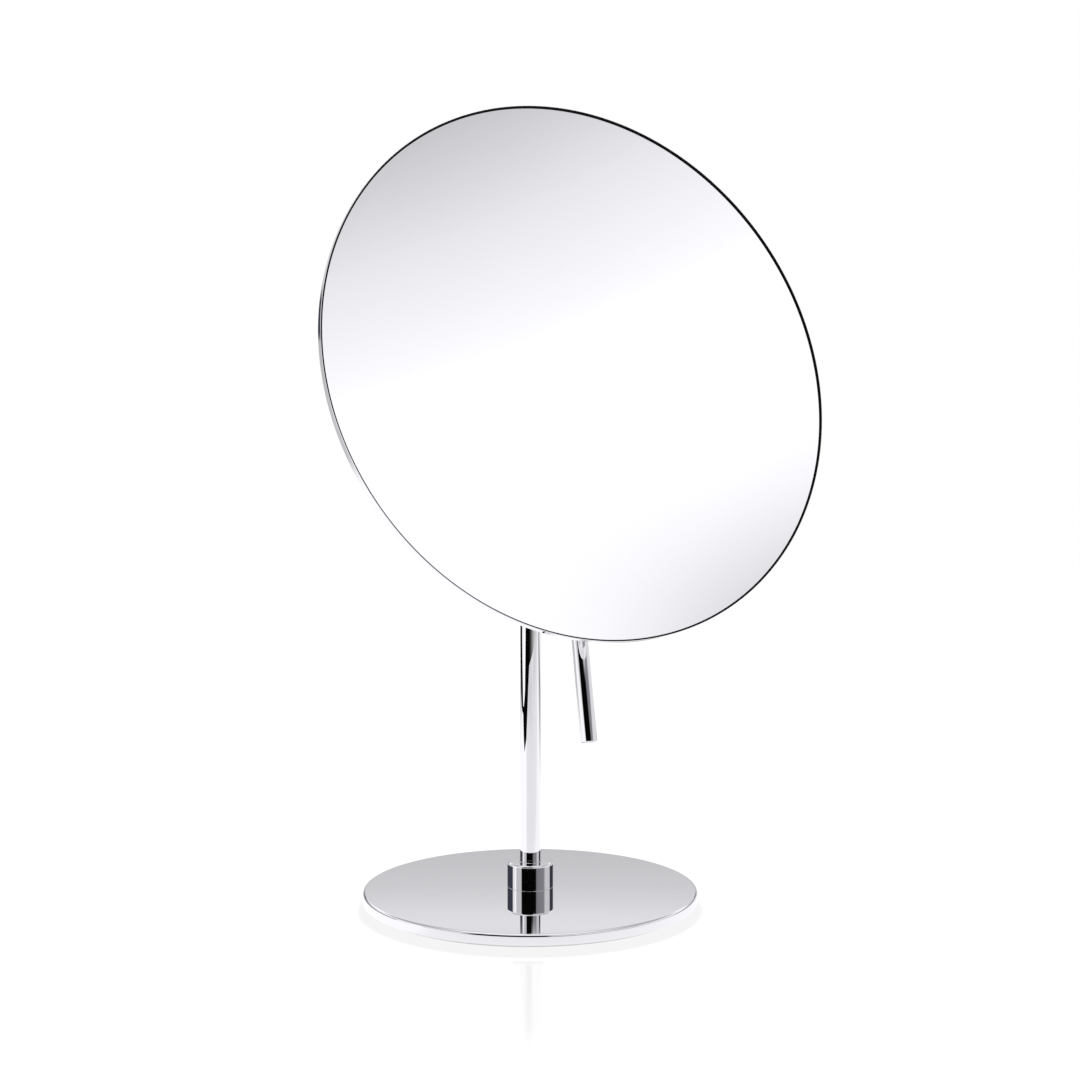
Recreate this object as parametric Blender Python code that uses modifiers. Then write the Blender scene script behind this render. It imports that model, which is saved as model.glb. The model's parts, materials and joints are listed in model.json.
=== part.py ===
"""Free-standing extendable shaving mirror, in metres.

The origin is the centre of the foot's underside, +Z is up and the mirror faces -Y.
A round foot carries a slim tube. A rod slides out of the tube, a forked head turns on the
rod, and an arm tilts in the fork and holds the round mirror with the rod that is its handle.
"""
import math

import bmesh
import bpy
from mathutils import Matrix, Vector

# Driving dimensions
MIRROR_RADIUS = 0.100
GLASS_CURVE_RADIUS = 1.6          # hollow side, about two times magnification
FACE_OFFSET = 0.055               # rim's front plane ahead of the tilt axis
REST_TILT = math.radians(11.0)    # mirror's normal above the horizontal
TILT_AXIS_Z = 0.192
BASE_RADIUS = 0.0652
BASE_TOP_Z = 0.0051
POST_RADIUS = 0.004
ROD_RADIUS = 0.0025
HANDLE_RADIUS = 0.003
HANDLE_OFFSET = 0.0245            # handle's axis ahead of the tilt axis
HANDLE_REACH = 0.132              # handle's end below the tilt axis, along the mirror

# Clearances and broken edges
GAP = 0.0001                      # between pieces that rest on or fit in each other
SINK_GAP = 0.00015                # around a countersunk head
LAYER_GAP = 0.0002                # between the layers behind the glass
HOLE_SPARE = 0.0003               # blind hole beyond its screw's tip
EDGE_BREAK = 0.0002
BOLD_EDGE_BREAK = 0.0005
CUT_OVERRUN = 0.002

# Foot
PAD_RADIUS = 0.0625
PAD_THICKNESS = 0.001
PLATE_EDGE_ROUND = 0.0007
PLATE_HOLE_RADIUS = 0.0021
PLATE_SINK_RADIUS = 0.0046
PLATE_SINK_DEPTH = 0.0024
COLLAR_RADIUS = 0.009
COLLAR_HEIGHT = 0.0095
COLLAR_ROUND = 0.0009
SET_SCREW_RADIUS = 0.00125
BASE_SCREW_LENGTH = 0.0167

# Post and rod
POST_WALL = 0.0008
POST_TOP_Z = 0.165
PLUG_TOP_Z = 0.024
PLUG_HOLE_TOP_Z = 0.0195
BUSH_LENGTH = 0.020
BUSH_FLANGE = 0.001
FERRULE_RADIUS = 0.0052
FERRULE_LENGTH = 0.012
FERRULE_CAP = 0.0018
ROD_BOTTOM_Z = 0.046
ROD_TOP_Z = 0.1813
ROD_TAPPED_RADIUS = 0.0015
ROD_TAPPED_DEPTH = 0.0105
FRICTION_RING_LENGTH = 0.0055
FRICTION_RING_SPLIT = 0.0009
STOP_RING_LENGTH = 0.004
SHOULDER_RADIUS = 0.0045
SHOULDER_HEIGHT = 0.004
SHOULDER_REST_GAP = 0.0003
SPRING_SHEET = 0.0004
SWIVEL_WASHER_THICKNESS = 0.0007

# Head
HEAD_RADIUS = 0.009
HEAD_BOTTOM_Z = 0.1734
HEAD_TOP_Z = 0.200
HEAD_ROUND = 0.0012
HEAD_BORE_TOP_Z = 0.1812
HEAD_POCKET_RADIUS = 0.0042
SLOT_FLOOR_Z = 0.1838
SLOT_HALF_WIDTH = 0.0046
TILT_SCREW_RADIUS = 0.002
TILT_HEAD_RADIUS = 0.0035
TILT_HEAD_HEIGHT = 0.002
TILT_POCKET_DEPTH = 0.0025
NUT_ACROSS_FLATS = 0.007
NUT_THICKNESS = 0.0022

# Arm and mirror, in the mirror's own frame: +Z out of the glass, +Y up, tilt axis at 0
TONGUE_HALF_WIDTH = 0.00395
EYE_RADIUS = 0.007
TILT_WASHER_RADIUS = 0.0064
STEM_RADIUS = 0.006
STEM_START = 0.0112
STEM_ROUND = 0.001
HANDLE_SEAT_Y = -0.0047           # flat spot on the stem's underside
STUD_TOP_Y = 0.003
STUD_BOTTOM_Y = -0.0127
SHELL_WALL = 0.0006
RIM_DEPTH = 0.003                 # straight part of the rim's side
RIM_FOOT_RISE = 0.0003            # inner corner of the rim ahead of its outer one
RIM_SLOPE_WIDTH = 0.004           # sloped band between the rim and the dished back
GLASS_RECESS = 0.0008             # glass edge behind the rim's lip
GLASS_THICKNESS = 0.002
GLASS_RADIUS = MIRROR_RADIUS - SHELL_WALL - GAP
GLASS_EDGE_CUT = 0.0002
GLASS_BACK_CUT = 0.0007           # ground off the glass's back edge
FOAM_THICKNESS = 0.002
FOAM_INNER_RADIUS = 0.032
FOAM_OUTER_RADIUS = 0.088
STIFFENER_RADIUS = 0.027
STIFFENER_THICKNESS = 0.0016
FLAT_SPARE = 0.001                # tray's flat middle beyond the stiffener
DISH_START_SPARE = 0.003
FLANGE_RADIUS = 0.025
FLANGE_THICKNESS = 0.004
FLANGE_ROUND = 0.0012
BOSS_RADIUS = 0.009
BOSS_LENGTH = 0.003
SPIGOT_RADIUS = 0.0039
SPIGOT_LENGTH = 0.0062
FLANGE_SCREW_CIRCLE = 0.017
FLANGE_SCREW_COUNT = 3
FLANGE_SCREW_LENGTH = 0.0058

# Screws
SMALL_SCREW_RADIUS = 0.0014
SMALL_HEAD_RADIUS = 0.0026
SMALL_HEAD_HEIGHT = 0.0018
SINK_SLOPE = (PLATE_SINK_RADIUS - PLATE_HOLE_RADIUS) / PLATE_SINK_DEPTH
SINK_LAND = 0.0003                # straight edge of a countersunk head
SOCKET_WIDTH = 0.7                # hexagon socket's size over the shank's radius
SOCKET_DEPTH = 0.8

# Smoothness
DISC_STEPS = 64
PLAIN_STEPS = 36
SMALL_STEPS = 24
SCREW_STEPS = 16
ARC_STEPS = 3
DISH_RINGS = 4
FOAM_RINGS = 2
SHARP_ANGLE = math.radians(35.0)
MERGE = 0.00001

ACROSS = (1.0, 0.0, 0.0)
ALONG = (0.0, 1.0, 0.0)
UP = (0.0, 0.0, 1.0)
HEAD_DOWN = (math.pi, 0.0, 0.0)
HEAD_LEFT = (0.0, -math.pi / 2.0, 0.0)

PARTS = "extendable_shaving_mirror"
CUTTERS = "cutters"


def clear_scene():
    for item in list(bpy.data.objects):
        bpy.data.objects.remove(item, do_unlink=True)
    for group in list(bpy.data.collections):
        bpy.data.collections.remove(group)


def add_collection(name):
    group = bpy.data.collections.new(name)
    bpy.context.scene.collection.children.link(group)
    return group


def make_material(name, colour, roughness, metallic):
    material = bpy.data.materials.new(name)
    material.use_nodes = True
    shader = material.node_tree.nodes["Principled BSDF"]
    shader.inputs["Base Color"].default_value = (*colour, 1.0)
    shader.inputs["Roughness"].default_value = roughness
    shader.inputs["Metallic"].default_value = metallic
    material.diffuse_color = (*colour, 1.0)
    return material


def add_materials():
    return {
        "chrome": make_material("chrome", (0.86, 0.87, 0.89), 0.04, 1.0),
        "mirror": make_material("mirror", (0.93, 0.94, 0.96), 0.01, 1.0),
        "steel": make_material("steel", (0.60, 0.60, 0.62), 0.30, 1.0),
        "brass": make_material("brass", (0.78, 0.60, 0.30), 0.25, 1.0),
        "nylon": make_material("nylon", (0.88, 0.87, 0.83), 0.45, 0.0),
        "rubber": make_material("rubber", (0.78, 0.78, 0.76), 0.60, 0.0),
        "foam": make_material("foam", (0.55, 0.55, 0.56), 0.90, 0.0),
    }


def add_object(name, mesh, material, group, parent=None):
    piece = bpy.data.objects.new(name, mesh)
    group.objects.link(piece)
    piece.parent = parent
    if material is not None:
        mesh.materials.append(material)
    return piece


def shade(mesh):
    mesh.shade_smooth()
    mesh.set_sharp_from_angle(angle=SHARP_ANGLE)


def turned(name, outline, material, group, parent=None, closed=False, steps=SMALL_STEPS):
    """Turn an outline of (radius, z) points about Z; it runs down the outer side.

    An open outline starts and ends on the axis. A closed one makes a ring.
    """
    count = len(outline)
    edges = [(i, i + 1) for i in range(count - 1)]
    if closed:
        edges.append((count - 1, 0))
    profile = bpy.data.meshes.new(name)
    profile.from_pydata([(radius, 0.0, z) for radius, z in outline], edges, [])
    piece = add_object(name, profile, None, group, parent)
    screw = piece.modifiers.new("turn", "SCREW")
    screw.steps = steps
    screw.render_steps = steps
    screw.use_merge_vertices = True
    screw.merge_threshold = MERGE
    graph = bpy.context.evaluated_depsgraph_get()
    mesh = bpy.data.meshes.new_from_object(piece.evaluated_get(graph))
    piece.modifiers.clear()
    piece.data = mesh
    bpy.data.meshes.remove(profile)
    mesh.name = name
    shade(mesh)
    if material is not None:
        mesh.materials.append(material)
    return piece


def ring(name, outer, inner, top, bottom, material, group, parent=None, edge=EDGE_BREAK):
    """A plain ring with its outer edges broken by a small chamfer."""
    outline = [
        (inner, top),
        (outer - edge, top),
        (outer, top - edge),
        (outer, bottom + edge),
        (outer - edge, bottom),
        (inner, bottom),
    ]
    return turned(name, outline, material, group, parent, closed=True)


def arc(centre_radius, centre_z, size, start, end):
    """Points on an arc; the angles are in degrees from the outward radius."""
    points = []
    for i in range(ARC_STEPS + 1):
        angle = math.radians(start + (end - start) * i / ARC_STEPS)
        points.append((centre_radius + size * math.cos(angle), centre_z + size * math.sin(angle)))
    return points


def rounded_side(radius, top, bottom, rounding):
    """Outer side of a turned piece with both edges rounded."""
    side = arc(radius - rounding, top - rounding, rounding, 90.0, 0.0)
    side += arc(radius - rounding, bottom + rounding, rounding, 0.0, -90.0)
    return side


def sag(radius):
    """How far the glass's hollow rises from its centre to a radius."""
    return GLASS_CURVE_RADIUS - math.sqrt(GLASS_CURVE_RADIUS ** 2 - radius ** 2)


def dish(centre_z, start, end, rings=DISH_RINGS):
    """Points along a hollow surface parallel to the glass, between two radii."""
    points = []
    for i in range(rings + 1):
        radius = start + (end - start) * i / rings
        points.append((radius, centre_z + sag(radius)))
    return points


def bar(name, radius, length, sides, centre, axis, group, parent=None, material=None):
    """A round or hexagonal bar about its centre, along an axis."""
    mesh = bpy.data.meshes.new(name)
    work = bmesh.new()
    turn = Vector(UP).rotation_difference(Vector(axis)).to_matrix().to_4x4()
    bmesh.ops.create_cone(
        work, cap_ends=True, segments=sides, radius1=radius, radius2=radius, depth=length,
        matrix=Matrix.Translation(Vector(centre)) @ turn)
    work.to_mesh(mesh)
    work.free()
    shade(mesh)
    return add_object(name, mesh, material, group, parent)


def block(name, size, centre, group, parent=None):
    mesh = bpy.data.meshes.new(name)
    work = bmesh.new()
    bmesh.ops.create_cube(work, size=1.0)
    bmesh.ops.scale(work, vec=Vector(size), verts=work.verts)
    bmesh.ops.translate(work, vec=Vector(centre), verts=work.verts)
    work.to_mesh(mesh)
    work.free()
    return add_object(name, mesh, None, group, parent)


def boolean(piece, tool, operation):
    tool.hide_render = True
    tool.display_type = "WIRE"
    step = piece.modifiers.new(tool.name, "BOOLEAN")
    step.operation = operation
    step.solver = "EXACT"
    step.object = tool


def cut(piece, tool):
    boolean(piece, tool, "DIFFERENCE")


def join(piece, tool):
    boolean(piece, tool, "UNION")


def cut_socket(piece, shank, mouth, cutters):
    """Hexagon socket in the +Z end of a screw, in the screw's own frame."""
    length = shank * SOCKET_DEPTH * 2.0
    tool = bar(piece.name + "_socket", shank * SOCKET_WIDTH, length, 6,
               (0.0, 0.0, mouth), UP, cutters, piece)
    cut(piece, tool)


def cap_screw(name, head_radius, head_height, shank, length, material, parts, cutters, parent):
    """Screw with a round head; its seat is at z = 0 and its tip points down."""
    edge = EDGE_BREAK
    outline = [
        (0.0, head_height),
        (head_radius - edge, head_height),
        (head_radius, head_height - edge),
        (head_radius, 0.0),
        (shank, 0.0),
        (shank, edge - length),
        (shank - edge, -length),
        (0.0, -length),
    ]
    piece = turned(name, outline, material, parts, parent, steps=SCREW_STEPS)
    cut_socket(piece, shank, head_height, cutters)
    return piece


def sunk_outline(head_radius, shank, length, rise):
    """Outline of a countersunk screw or of its hole; the head's face is at z = 0."""
    return [
        (0.0, rise),
        (head_radius, rise),
        (head_radius, -SINK_LAND),
        (shank, -SINK_LAND - (head_radius - shank) / SINK_SLOPE),
        (shank, -length),
        (0.0, -length),
    ]


def sunk_screw(name, head_radius, shank, length, material, parts, cutters, parent=None):
    outline = sunk_outline(head_radius, shank, length, 0.0)
    piece = turned(name, outline, material, parts, parent, steps=SCREW_STEPS)
    cut_socket(piece, shank, 0.0, cutters)
    return piece


def build_foot(parts, cutters, finish):
    pad = [(0.0, PAD_THICKNESS), (PAD_RADIUS, PAD_THICKNESS), (PAD_RADIUS, 0.0), (0.0, 0.0)]
    turned("base_pad", pad, finish["rubber"], parts, steps=DISC_STEPS)

    bottom = PAD_THICKNESS + GAP
    plate = [(PLATE_HOLE_RADIUS, BASE_TOP_Z)]
    plate += rounded_side(BASE_RADIUS, BASE_TOP_Z, bottom, PLATE_EDGE_ROUND)
    plate += [(PLATE_SINK_RADIUS, bottom), (PLATE_HOLE_RADIUS, bottom + PLATE_SINK_DEPTH)]
    turned("base_plate", plate, finish["chrome"], parts, closed=True, steps=DISC_STEPS)

    shank = PLATE_HOLE_RADIUS - SINK_GAP
    head_bottom = bottom + EDGE_BREAK
    cone_foot = head_bottom + SINK_LAND
    head_radius = PLATE_SINK_RADIUS - SINK_GAP - SINK_SLOPE * (cone_foot - bottom)
    screw = sunk_screw("base_screw", head_radius, shank, BASE_SCREW_LENGTH, finish["steel"],
                       parts, cutters)
    screw.location = (0.0, 0.0, head_bottom)
    screw.rotation_euler = HEAD_DOWN


def build_collar(parts, cutters, finish):
    bottom = BASE_TOP_Z + GAP
    top = bottom + COLLAR_HEIGHT
    bore = POST_RADIUS + GAP
    outline = [(bore, top)]
    outline += arc(COLLAR_RADIUS - COLLAR_ROUND, top - COLLAR_ROUND, COLLAR_ROUND, 90.0, 0.0)
    outline += [(COLLAR_RADIUS, bottom + EDGE_BREAK), (COLLAR_RADIUS - EDGE_BREAK, bottom)]
    outline += [(bore, bottom)]
    collar = turned("base_collar", outline, finish["chrome"], parts, closed=True,
                    steps=PLAIN_STEPS)

    middle = bottom + COLLAR_HEIGHT / 2.0
    hole_start = POST_RADIUS / 2.0
    hole_end = COLLAR_RADIUS + CUT_OVERRUN
    hole = bar("collar_screw_hole", SET_SCREW_RADIUS + GAP, hole_end - hole_start, SCREW_STEPS,
               (0.0, (hole_start + hole_end) / 2.0, middle), ALONG, cutters)
    cut(collar, hole)

    grub_length = COLLAR_RADIUS - bore - 4.0 * GAP
    outline = [(0.0, 0.0), (SET_SCREW_RADIUS, 0.0), (SET_SCREW_RADIUS, -grub_length)]
    outline += [(0.0, -grub_length)]
    grub = turned("collar_set_screw", outline, finish["steel"], parts, steps=SCREW_STEPS)
    grub.location = (0.0, COLLAR_RADIUS - 3.0 * GAP, middle)
    grub.rotation_euler = (-math.pi / 2.0, 0.0, 0.0)
    cut_socket(grub, SET_SCREW_RADIUS, 0.0, cutters)


def build_outer_post(parts, finish):
    bottom = BASE_TOP_Z + GAP
    bore = POST_RADIUS - POST_WALL
    ring("post_tube", POST_RADIUS, bore, POST_TOP_Z, bottom, finish["chrome"], parts)

    plug_radius = bore - GAP
    plug = [
        (0.0, PLUG_TOP_Z),
        (plug_radius - BOLD_EDGE_BREAK, PLUG_TOP_Z),
        (plug_radius, PLUG_TOP_Z - BOLD_EDGE_BREAK),
        (plug_radius, bottom),
        (PLATE_HOLE_RADIUS, bottom),
        (PLATE_HOLE_RADIUS, PLUG_HOLE_TOP_Z),
        (0.0, PLUG_HOLE_TOP_Z + PLATE_HOLE_RADIUS / 2.0),
    ]
    turned("post_plug", plug, finish["steel"], parts)

    flange_bottom = POST_TOP_Z + GAP
    flange_top = flange_bottom + BUSH_FLANGE
    bush_bore = ROD_RADIUS + GAP
    bush = [
        (bush_bore, flange_top),
        (POST_RADIUS - GAP, flange_top),
        (POST_RADIUS - GAP, flange_bottom),
        (plug_radius, flange_bottom),
        (plug_radius, POST_TOP_Z - BUSH_LENGTH),
        (bush_bore, POST_TOP_Z - BUSH_LENGTH),
    ]
    turned("guide_bush", bush, finish["nylon"], parts, closed=True)

    seat = flange_top + GAP
    cap_top = seat + FERRULE_CAP
    sleeve_bore = POST_RADIUS + GAP
    mouth = bush_bore + GAP
    ferrule = [(mouth, cap_top)]
    ferrule += arc(FERRULE_RADIUS - FERRULE_CAP, cap_top - FERRULE_CAP, FERRULE_CAP, 90.0, 0.0)
    ferrule += [
        (FERRULE_RADIUS, seat - FERRULE_LENGTH + EDGE_BREAK),
        (FERRULE_RADIUS - EDGE_BREAK, seat - FERRULE_LENGTH),
        (sleeve_bore, seat - FERRULE_LENGTH),
        (sleeve_bore, seat),
        (mouth, seat),
    ]
    turned("tube_ferrule", ferrule, finish["chrome"], parts, closed=True)
    return cap_top


def build_rod(parts, cutters, finish, slider):
    """Rod with a tapped hole in each end, and the rings and screw on its lower end."""
    tapped = ROD_TAPPED_RADIUS
    depth = ROD_TAPPED_DEPTH
    rod = [
        (0.0, ROD_TOP_Z - depth - tapped / 2.0),
        (tapped, ROD_TOP_Z - depth),
        (tapped, ROD_TOP_Z),
        (ROD_RADIUS - EDGE_BREAK, ROD_TOP_Z),
        (ROD_RADIUS, ROD_TOP_Z - EDGE_BREAK),
        (ROD_RADIUS, ROD_BOTTOM_Z + EDGE_BREAK),
        (ROD_RADIUS - EDGE_BREAK, ROD_BOTTOM_Z),
        (tapped, ROD_BOTTOM_Z),
        (tapped, ROD_BOTTOM_Z + depth),
        (0.0, ROD_BOTTOM_Z + depth + tapped / 2.0),
    ]
    turned("inner_rod", rod, finish["chrome"], parts, slider)

    bore = POST_RADIUS - POST_WALL
    sleeve_bottom = ROD_BOTTOM_Z + 4.0 * GAP
    sleeve_top = sleeve_bottom + FRICTION_RING_LENGTH
    sleeve = ring("rod_friction_ring", bore - GAP / 2.0, ROD_RADIUS + GAP, sleeve_top,
                  sleeve_bottom, finish["nylon"], parts, slider)
    split_start = ROD_RADIUS / 2.0
    split_end = bore + CUT_OVERRUN
    split = block("friction_ring_split",
                  (FRICTION_RING_SPLIT, split_end - split_start, FRICTION_RING_LENGTH * 2.0),
                  (0.0, (split_start + split_end) / 2.0, (sleeve_top + sleeve_bottom) / 2.0),
                  cutters, slider)
    cut(sleeve, split)

    stop_top = ROD_BOTTOM_Z - GAP
    stop_bottom = stop_top - STOP_RING_LENGTH
    ring("rod_stop_ring", bore - GAP, tapped + GAP, stop_top, stop_bottom, finish["brass"],
         parts, slider)
    seat = stop_bottom - GAP
    length = ROD_BOTTOM_Z + depth - HOLE_SPARE - seat
    screw = cap_screw("rod_end_screw", SMALL_HEAD_RADIUS, SMALL_HEAD_HEIGHT,
                      SMALL_SCREW_RADIUS, length, finish["steel"], parts, cutters, slider)
    screw.location = (0.0, 0.0, seat)
    screw.rotation_euler = HEAD_DOWN


def build_swivel_hardware(parts, cutters, finish, slider, ferrule_top):
    """Shoulder and spring washer below the head, and the screw and washer that hold it."""
    rest = ferrule_top + SHOULDER_REST_GAP
    shoulder_top = rest + SHOULDER_HEIGHT
    bore = ROD_RADIUS + GAP
    ring("rod_shoulder_ring", SHOULDER_RADIUS, bore, shoulder_top, rest, finish["chrome"],
         parts, slider, BOLD_EDGE_BREAK)

    low = shoulder_top + GAP
    high = HEAD_BOTTOM_Z - GAP
    outer = SHOULDER_RADIUS - EDGE_BREAK
    spring = [(bore, high), (outer, low + SPRING_SHEET), (outer, low), (bore, high - SPRING_SHEET)]
    turned("swivel_spring_washer", spring, finish["steel"], parts, slider, closed=True)

    washer_bottom = ROD_TOP_Z + GAP
    washer_top = washer_bottom + SWIVEL_WASHER_THICKNESS
    ring("swivel_washer", HEAD_POCKET_RADIUS - 4.0 * GAP, ROD_TAPPED_RADIUS + GAP, washer_top,
         washer_bottom, finish["steel"], parts, slider)

    seat = washer_top + GAP
    length = seat - ROD_TOP_Z + ROD_TAPPED_DEPTH - HOLE_SPARE
    screw = cap_screw("swivel_screw", SMALL_HEAD_RADIUS, SMALL_HEAD_HEIGHT, SMALL_SCREW_RADIUS,
                      length, finish["steel"], parts, cutters, slider)
    screw.location = (0.0, 0.0, seat)


def build_head(parts, cutters, finish, head):
    """Round head with a bore for the rod, a slot for the arm and pockets for the tilt screw."""
    base = HEAD_BOTTOM_Z - TILT_AXIS_Z
    top = HEAD_TOP_Z - TILT_AXIS_Z
    bore = ROD_RADIUS + GAP
    pocket_floor = HEAD_BORE_TOP_Z - TILT_AXIS_Z
    slot_floor = SLOT_FLOOR_Z - TILT_AXIS_Z
    outline = [(HEAD_POCKET_RADIUS, top)]
    outline += rounded_side(HEAD_RADIUS, top, base, HEAD_ROUND)
    outline += [(bore, base), (bore, pocket_floor), (HEAD_POCKET_RADIUS, pocket_floor)]
    piece = turned("swivel_head", outline, finish["chrome"], parts, head, closed=True,
                   steps=PLAIN_STEPS)

    slot_height = top + CUT_OVERRUN - slot_floor
    slot = block("head_slot", (2.0 * SLOT_HALF_WIDTH, 4.0 * HEAD_RADIUS, slot_height),
                 (0.0, 0.0, slot_floor + slot_height / 2.0), cutters, head)
    cut(piece, slot)
    cross_hole = bar("tilt_screw_hole", TILT_SCREW_RADIUS + GAP, 4.0 * HEAD_RADIUS, SCREW_STEPS,
                     (0.0, 0.0, 0.0), ACROSS, cutters, head)
    cut(piece, cross_hole)

    pocket_length = TILT_POCKET_DEPTH + CUT_OVERRUN
    pocket_x = HEAD_RADIUS - TILT_POCKET_DEPTH + pocket_length / 2.0
    head_pocket = bar("tilt_head_pocket", TILT_HEAD_RADIUS + LAYER_GAP, pocket_length,
                      SMALL_STEPS, (-pocket_x, 0.0, 0.0), ACROSS, cutters, head)
    cut(piece, head_pocket)
    nut_pocket = bar("tilt_nut_pocket", nut_corner() + LAYER_GAP, pocket_length, 6,
                     (pocket_x, 0.0, 0.0), ACROSS, cutters, head)
    cut(piece, nut_pocket)


def nut_corner():
    return NUT_ACROSS_FLATS / math.sqrt(3.0)


def build_tilt_hardware(parts, cutters, finish, head):
    """Screw, nut and the two friction washers beside the arm's eye."""
    seat = HEAD_RADIUS - TILT_POCKET_DEPTH + GAP
    length = seat + HEAD_RADIUS - 4.0 * GAP
    screw = cap_screw("tilt_screw", TILT_HEAD_RADIUS, TILT_HEAD_HEIGHT, TILT_SCREW_RADIUS,
                      length, finish["steel"], parts, cutters, head)
    screw.location = (-seat, 0.0, 0.0)
    screw.rotation_euler = HEAD_LEFT

    hole_radius = TILT_SCREW_RADIUS + GAP
    nut_centre = (seat + NUT_THICKNESS / 2.0, 0.0, 0.0)
    nut = bar("tilt_nut", nut_corner(), NUT_THICKNESS, 6, nut_centre, ACROSS, parts, head,
              finish["steel"])
    nut_bore = bar("tilt_nut_bore", hole_radius, NUT_THICKNESS * 3.0, SCREW_STEPS, nut_centre,
                   ACROSS, cutters, head)
    cut(nut, nut_bore)

    thickness = SLOT_HALF_WIDTH - TONGUE_HALF_WIDTH - 2.0 * GAP
    offset = (SLOT_HALF_WIDTH + TONGUE_HALF_WIDTH) / 2.0
    for side, sign in (("left", -1.0), ("right", 1.0)):
        centre = (sign * offset, 0.0, 0.0)
        washer = bar("tilt_washer_" + side, TILT_WASHER_RADIUS, thickness, SMALL_STEPS,
                     centre, ACROSS, parts, head, finish["nylon"])
        hole = bar("tilt_washer_hole_" + side, hole_radius, thickness * 4.0, SCREW_STEPS,
                   centre, ACROSS, cutters, head)
        cut(washer, hole)


def layer_heights():
    """Centre height of each layer from the glass's front to the tray's floor."""
    front = FACE_OFFSET - GLASS_RECESS - sag(GLASS_RADIUS)
    back = front - GLASS_THICKNESS
    foam_front = back - LAYER_GAP
    foam_back = foam_front - FOAM_THICKNESS
    tray_floor = foam_back - LAYER_GAP
    return front, back, foam_front, foam_back, tray_floor


def build_glass(parts, finish, mirror):
    front, back, foam_front, foam_back, _ = layer_heights()
    glass = dish(front, 0.0, GLASS_RADIUS - GLASS_EDGE_CUT)
    glass += [
        (GLASS_RADIUS, front + sag(GLASS_RADIUS) - GLASS_EDGE_CUT),
        (GLASS_RADIUS, back + sag(GLASS_RADIUS) + GLASS_BACK_CUT),
    ]
    glass += reversed(dish(back, 0.0, GLASS_RADIUS - GLASS_BACK_CUT))
    turned("mirror_glass", glass, finish["mirror"], parts, mirror, steps=DISC_STEPS)

    foam = dish(foam_front, FOAM_INNER_RADIUS, FOAM_OUTER_RADIUS, FOAM_RINGS)
    foam += reversed(dish(foam_back, FOAM_INNER_RADIUS, FOAM_OUTER_RADIUS, FOAM_RINGS))
    turned("foam_ring", foam, finish["foam"], parts, mirror, closed=True, steps=PLAIN_STEPS)


def flange_screw_places():
    for i in range(FLANGE_SCREW_COUNT):
        angle = math.pi / 2.0 + 2.0 * math.pi * i / FLANGE_SCREW_COUNT
        yield i + 1, FLANGE_SCREW_CIRCLE * math.cos(angle), FLANGE_SCREW_CIRCLE * math.sin(angle)


def build_shell(parts, cutters, finish, mirror):
    """Spun tray: flat middle, dished back, sloped band and a thin straight rim."""
    tray_floor = layer_heights()[-1]
    back = tray_floor - SHELL_WALL
    flat = STIFFENER_RADIUS + FLAT_SPARE
    dish_start = flat + DISH_START_SPARE
    slope_start = MIRROR_RADIUS - RIM_SLOPE_WIDTH
    wall_inside = MIRROR_RADIUS - SHELL_WALL
    inside_foot = FACE_OFFSET - RIM_DEPTH + RIM_FOOT_RISE
    outline = [(0.0, tray_floor), (flat, tray_floor)]
    outline += dish(tray_floor, dish_start, slope_start - SHELL_WALL / 2.0)
    outline += [
        (wall_inside, inside_foot),
        (wall_inside, FACE_OFFSET - EDGE_BREAK),
        (wall_inside + EDGE_BREAK, FACE_OFFSET),
        (MIRROR_RADIUS - EDGE_BREAK, FACE_OFFSET),
        (MIRROR_RADIUS, FACE_OFFSET - EDGE_BREAK),
        (MIRROR_RADIUS, FACE_OFFSET - RIM_DEPTH),
    ]
    outline += reversed(dish(back, dish_start, slope_start))
    outline += [(flat, back), (0.0, back)]
    shell = turned("back_shell", outline, finish["chrome"], parts, mirror, steps=DISC_STEPS)
    for number, x, y in flange_screw_places():
        hole = bar(f"shell_hole_{number}", SMALL_SCREW_RADIUS + GAP, 8.0 * SHELL_WALL,
                   SCREW_STEPS, (x, y, back), UP, cutters, mirror)
        cut(shell, hole)
    return back


def build_flange(parts, finish, mirror, shell_back):
    """Flange behind the tray, with a boss and a socket for the arm's spigot."""
    front = shell_back - GAP
    rear = front - FLANGE_THICKNESS
    boss_rear = rear - BOSS_LENGTH
    socket_radius = SPIGOT_RADIUS + GAP
    socket_front = boss_rear + SPIGOT_LENGTH + HOLE_SPARE
    outline = [(0.0, front)]
    outline += rounded_side(FLANGE_RADIUS, front, rear, FLANGE_ROUND)
    outline += [
        (BOSS_RADIUS, rear),
        (BOSS_RADIUS, boss_rear + BOLD_EDGE_BREAK),
        (BOSS_RADIUS - BOLD_EDGE_BREAK, boss_rear),
        (socket_radius, boss_rear),
        (socket_radius, socket_front),
        (0.0, socket_front),
    ]
    flange = turned("mirror_flange", outline, finish["chrome"], parts, mirror, steps=PLAIN_STEPS)
    return flange, front, boss_rear


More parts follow.
